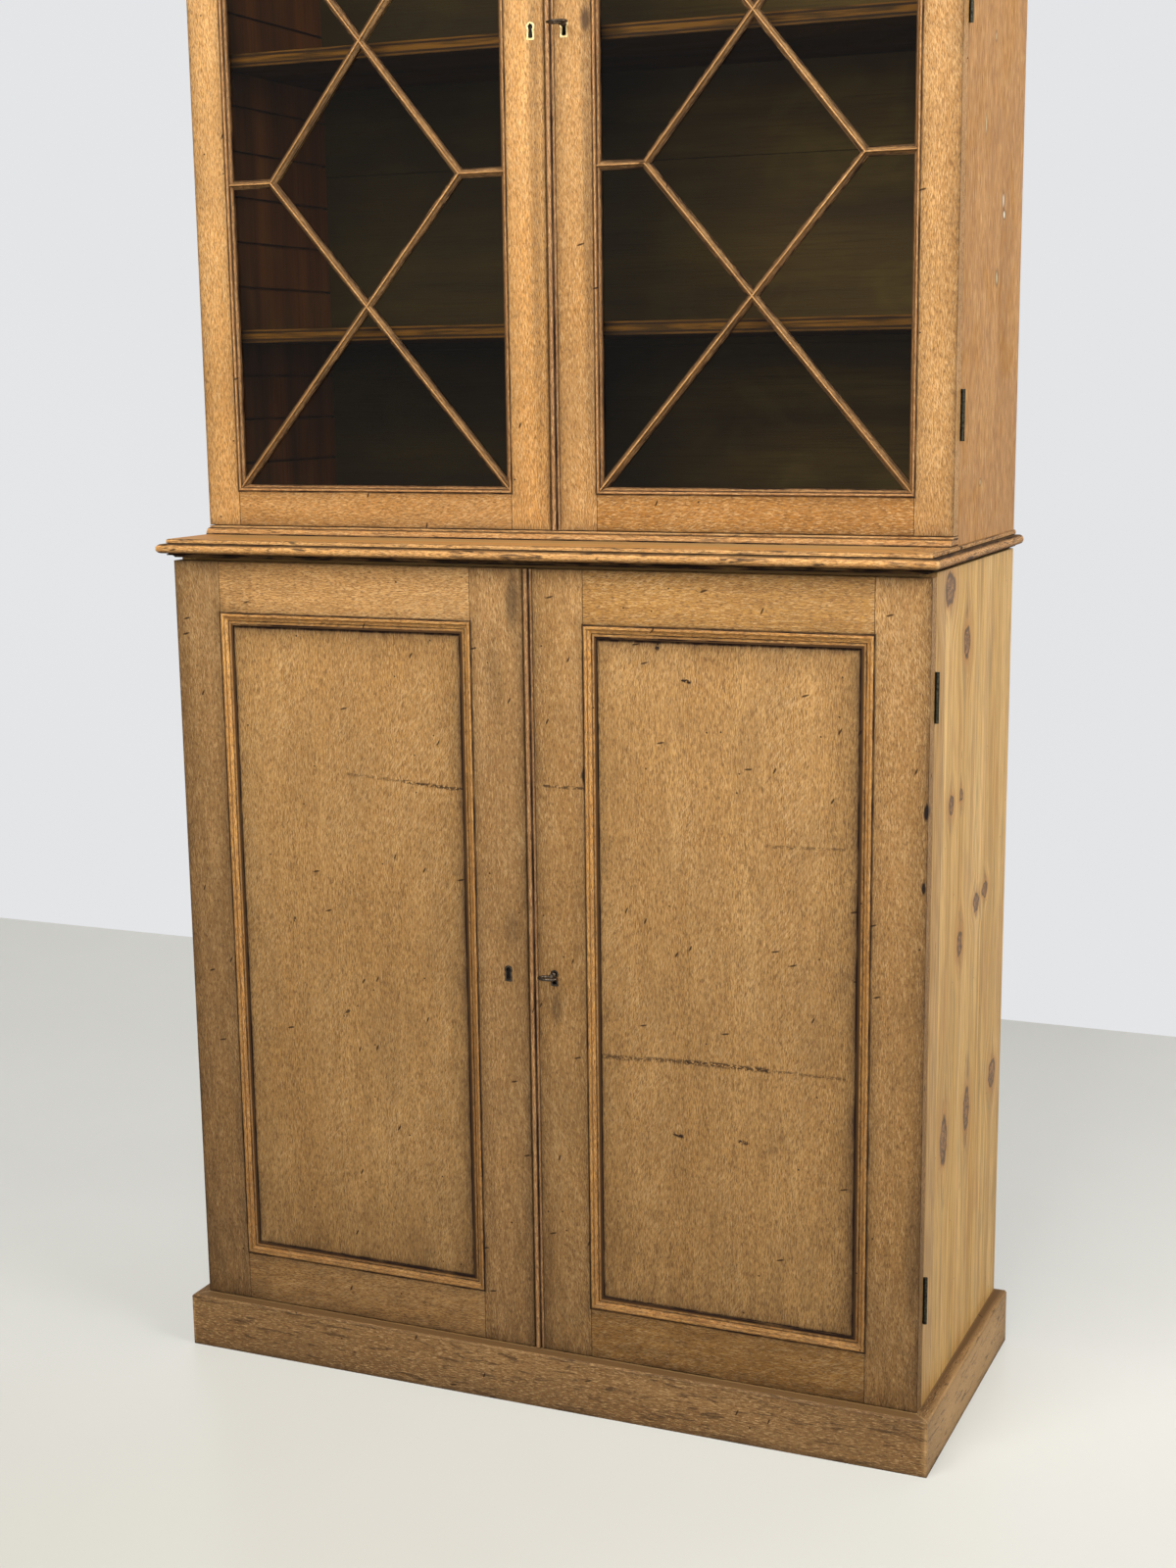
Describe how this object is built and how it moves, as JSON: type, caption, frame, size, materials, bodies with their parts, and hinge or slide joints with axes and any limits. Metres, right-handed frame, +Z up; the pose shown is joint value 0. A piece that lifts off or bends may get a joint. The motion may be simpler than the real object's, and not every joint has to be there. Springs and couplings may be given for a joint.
{
  "type": "display cabinet",
  "caption": "Tall oak cabinet: a glazed bookcase with diamond-latticed doors under a cornice, standing on a panelled two-door cupboard with a moulded waist and plinth.",
  "frame": {"origin": "middle of the box round the whole piece, on the floor", "axes": "+Z up, +X to the right of someone facing the doors, doors face -Y"},
  "size_m": [1.196, 0.469, 2.575],
  "materials": {
    "oak": "waxed, worn",
    "pine": "stripped and waxed",
    "glass": "clear, slightly uneven",
    "brass": "polished, aged",
    "key_steel": "dark patina",
    "lock_steel": "dull",
    "bolt_steel": "dull",
    "hinge_iron": "dark, slightly rusted"
  },
  "bodies": {
    "carcass": {"cornice": "oak", "hinge_fixed_leaves": "hinge_iron", "lower_back_boards": "pine", "lower_floor": "pine", "lower_shelves": "pine", "lower_side_left": "pine", "lower_side_right": "pine", "lower_top_board": "pine", "lower_top_rails": "pine", "plinth_rails": "pine", "plinth_skirting": "oak", "upper_back_boards": "pine", "upper_base_moulding": "oak", "upper_floor": "oak", "upper_roof": "pine", "upper_shelves": "oak", "upper_side_left": "oak", "upper_side_right": "oak", "waist_moulding": "oak"},
    "lower_bottom_bolt": {"lower_left_bolt_bottom": "bolt_steel"},
    "lower_left_door": {"lower_left_bolt_plates": "bolt_steel", "lower_left_escutcheon": "brass", "lower_left_hinge_leaves": "hinge_iron", "lower_left_panel": "oak", "lower_left_panel_moulding": "oak", "lower_left_rails": "oak", "lower_left_stiles": "oak"},
    "lower_top_bolt": {"lower_left_bolt_top": "bolt_steel"},
    "lower_right_door": {"lower_right_bead": "oak", "lower_right_escutcheon": "brass", "lower_right_hinge_leaves": "hinge_iron", "lower_right_lock_case": "lock_steel", "lower_right_panel": "oak", "lower_right_panel_moulding": "oak", "lower_right_rails": "oak", "lower_right_stiles": "oak"},
    "lower_key": {"lower_right_key": "key_steel"},
    "lower_lock_bolt": {"lower_right_lock_bolt": "lock_steel"},
    "upper_left_door": {"upper_left_bars": "oak", "upper_left_bolt_plates": "bolt_steel", "upper_left_escutcheon": "brass", "upper_left_glass": "glass", "upper_left_hinge_leaves": "hinge_iron", "upper_left_rails": "oak", "upper_left_sticking": "oak", "upper_left_stiles": "oak"},
    "upper_bottom_bolt": {"upper_left_bolt_bottom": "bolt_steel"},
    "upper_top_bolt": {"upper_left_bolt_top": "bolt_steel"},
    "upper_right_door": {"upper_right_bars": "oak", "upper_right_bead": "oak", "upper_right_escutcheon": "brass", "upper_right_glass": "glass", "upper_right_hinge_leaves": "hinge_iron", "upper_right_lock_case": "lock_steel", "upper_right_rails": "oak", "upper_right_sticking": "oak", "upper_right_stiles": "oak"},
    "upper_key": {"upper_right_key": "key_steel"},
    "upper_lock_bolt": {"upper_right_lock_bolt": "lock_steel"}
  },
  "joints": [
    {"name": "lower_left_door_hinge", "type": "hinge", "parent": "carcass", "child": "lower_left_door", "pos_m": [-0.543, -0.182, 0.6215], "axis": [0, 0, -1], "range_deg": [0, 175]},
    {"name": "lower_right_door_hinge", "type": "hinge", "parent": "carcass", "child": "lower_right_door", "pos_m": [0.543, -0.182, 0.6215], "axis": [0, 0, 1], "range_deg": [0, 175]},
    {"name": "upper_left_door_hinge", "type": "hinge", "parent": "carcass", "child": "upper_left_door", "pos_m": [-0.543, -0.082, 1.847], "axis": [0, 0, -1], "range_deg": [0, 175]},
    {"name": "upper_right_door_hinge", "type": "hinge", "parent": "carcass", "child": "upper_right_door", "pos_m": [0.543, -0.082, 1.847], "axis": [0, 0, 1], "range_deg": [0, 175]},
    {"name": "lower_key_turn", "type": "hinge", "parent": "lower_right_door", "child": "lower_key", "pos_m": [0.0315, -0.2025, 0.6215], "axis": [0, -1, 0], "range_deg": [0, 180]},
    {"name": "lower_lock_throw", "type": "slide", "parent": "lower_right_door", "child": "lower_lock_bolt", "axis": [-1, 0, 0], "range_m": [0, 0.008]},
    {"name": "upper_key_turn", "type": "hinge", "parent": "upper_right_door", "child": "upper_key", "pos_m": [0.022, -0.1065, 1.847], "axis": [0, -1, 0], "range_deg": [0, 180]},
    {"name": "upper_lock_throw", "type": "slide", "parent": "upper_right_door", "child": "upper_lock_bolt", "axis": [-1, 0, 0], "range_m": [0, 0.008]},
    {"name": "lower_top_bolt_slide", "type": "slide", "parent": "lower_left_door", "child": "lower_top_bolt", "axis": [0, 0, 1], "range_m": [0, 0.014]},
    {"name": "lower_bottom_bolt_slide", "type": "slide", "parent": "lower_left_door", "child": "lower_bottom_bolt", "axis": [0, 0, -1], "range_m": [0, 0.014]},
    {"name": "upper_top_bolt_slide", "type": "slide", "parent": "upper_left_door", "child": "upper_top_bolt", "axis": [0, 0, 1], "range_m": [0, 0.014]},
    {"name": "upper_bottom_bolt_slide", "type": "slide", "parent": "upper_left_door", "child": "upper_bottom_bolt", "axis": [0, 0, -1], "range_m": [0, 0.014]}
  ],
  "couplings": [
    {"joint": "lower_lock_throw", "follows": "lower_key_turn", "m_per_rad": 0.0025465},
    {"joint": "upper_lock_throw", "follows": "upper_key_turn", "m_per_rad": 0.0025465}
  ]
}
